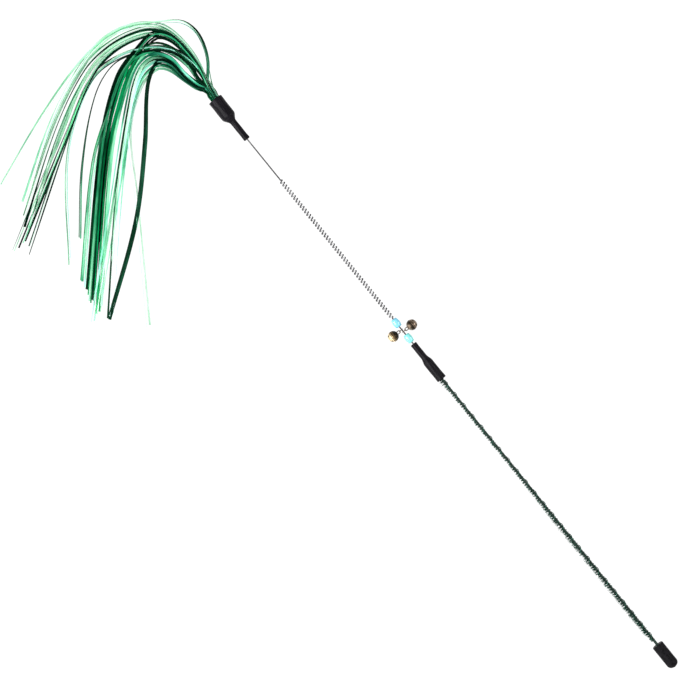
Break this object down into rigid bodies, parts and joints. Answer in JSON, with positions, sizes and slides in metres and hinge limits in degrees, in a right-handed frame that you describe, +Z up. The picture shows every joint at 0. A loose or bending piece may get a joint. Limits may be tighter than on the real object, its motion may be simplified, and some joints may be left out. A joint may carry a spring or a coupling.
{
  "type": "cat teaser wand",
  "caption": "Cat teaser wand: a tinsel-wound handle rod, an open coil spring wire with beads and jingle bells, and a tassel of metallic green foil strips.",
  "frame": {"origin": "centre of the box seen from above, on the ground that the wand lies on", "axes": "+X along the wand from the end cap to the tassel, +Z up from the ground, +Y the side that the tassel is swept to"},
  "size_m": [0.7406, 0.2464, 0.0134],
  "materials": {
    "cap_rubber": "matt moulded black",
    "rod_paint": "satin dark brown",
    "tinsel": "metallic tinsel strand",
    "core_plastic": "moulded core",
    "sleeve_black": "shrunk black sleeve, slight sheen",
    "wire_steel": "drawn spring wire",
    "bead_turquoise": "clear turquoise",
    "bead_blue": "clear sky blue",
    "bell_brass": "antiqued",
    "pellet_steel": "plain",
    "ferrule_metal": "crimped",
    "foil_dark": "metallised film",
    "foil_emerald": "metallised film",
    "foil_mint": "metallised film",
    "foil_pale": "metallised film",
    "foil_turquoise": "metallised film"
  },
  "bodies": {
    "handle": {"end_cap": "cap_rubber", "handle_rod": "rod_paint", "tinsel_strand": "tinsel", "joint_ferrule": "core_plastic", "joint_sleeve": "sleeve_black"},
    "spring": {"spring_wire": "wire_steel"},
    "tip": {"tassel_ferrule": "ferrule_metal", "tassel_collar": "sleeve_black"},
    "tassel": {"streamers_dark": "foil_dark", "streamers_emerald": "foil_emerald", "streamers_mint": "foil_mint", "streamers_pale": "foil_pale", "streamers_turquoise": "foil_turquoise"},
    "lower_bead_body": {"lower_bead": "bead_turquoise"},
    "upper_bead_body": {"upper_bead": "bead_blue"},
    "right_ring_body": {"right_ring": "bell_brass"},
    "right_bell_body": {"right_bell": "bell_brass", "right_ear": "bell_brass"},
    "right_pellet_body": {"right_pellet": "pellet_steel"},
    "left_ring_body": {"left_ring": "bell_brass"},
    "left_bell_body": {"left_bell": "bell_brass", "left_ear": "bell_brass"},
    "left_pellet_body": {"left_pellet": "pellet_steel"}
  },
  "joints": [
    {"name": "spring_bend_side", "type": "hinge", "parent": "handle", "child": "spring", "pos_m": [0.05837, -0.097, 0.0067], "axis": [0, 0, 1], "range_deg": [-35, 35], "stiffness_Nm_per_rad": 0.04, "deforming": ["spring_wire"]},
    {"name": "spring_bend_up", "type": "hinge", "parent": "spring", "child": "tip", "pos_m": [0.13637, -0.097, 0.0067], "axis": [0, -1, 0], "range_deg": [-35, 35], "stiffness_Nm_per_rad": 0.04, "deforming": ["spring_wire"]},
    {"name": "tassel_sway", "type": "hinge", "parent": "tip", "child": "tassel", "pos_m": [0.26497, -0.097, 0.0067], "axis": [0, 0, 1], "range_deg": [-20, 20], "stiffness_Nm_per_rad": 0.01, "deforming": ["streamers_dark", "streamers_emerald", "streamers_mint", "streamers_pale", "streamers_turquoise"]},
    {"name": "lower_bead_spin", "type": "hinge", "parent": "handle", "child": "lower_bead_body", "pos_m": [-0.00258, -0.097, 0.0067], "axis": [1, 0, 0], "continuous": true},
    {"name": "upper_bead_spin", "type": "hinge", "parent": "handle", "child": "upper_bead_body", "pos_m": [0.01462, -0.097, 0.0067], "axis": [1, 0, 0], "continuous": true},
    {"name": "right_ring_swing", "type": "hinge", "parent": "handle", "child": "right_ring_body", "pos_m": [0.00492, -0.097, 0.0067], "axis": [1, 0, 0], "range_deg": [-62, 42]},
    {"name": "right_bell_swing", "type": "hinge", "parent": "right_ring_body", "child": "right_bell_body", "pos_m": [0.00492, -0.09975, 0.0062], "axis": [0, -0.1771, 0.9842], "range_deg": [-30, 30]},
    {"name": "right_pellet_rattle", "type": "slide", "parent": "right_bell_body", "child": "right_pellet_body", "axis": [0, 0, 1], "range_m": [0, 0.0062]},
    {"name": "left_ring_swing", "type": "hinge", "parent": "handle", "child": "left_ring_body", "pos_m": [0.00712, -0.097, 0.0067], "axis": [1, 0, 0], "range_deg": [-42, 62]},
    {"name": "left_bell_swing", "type": "hinge", "parent": "left_ring_body", "child": "left_bell_body", "pos_m": [0.00712, -0.09424, 0.0062], "axis": [0, 0.1771, 0.9842], "range_deg": [-30, 30]},
    {"name": "left_pellet_rattle", "type": "slide", "parent": "left_bell_body", "child": "left_pellet_body", "axis": [0, 0, 1], "range_m": [0, 0.0062]}
  ]
}
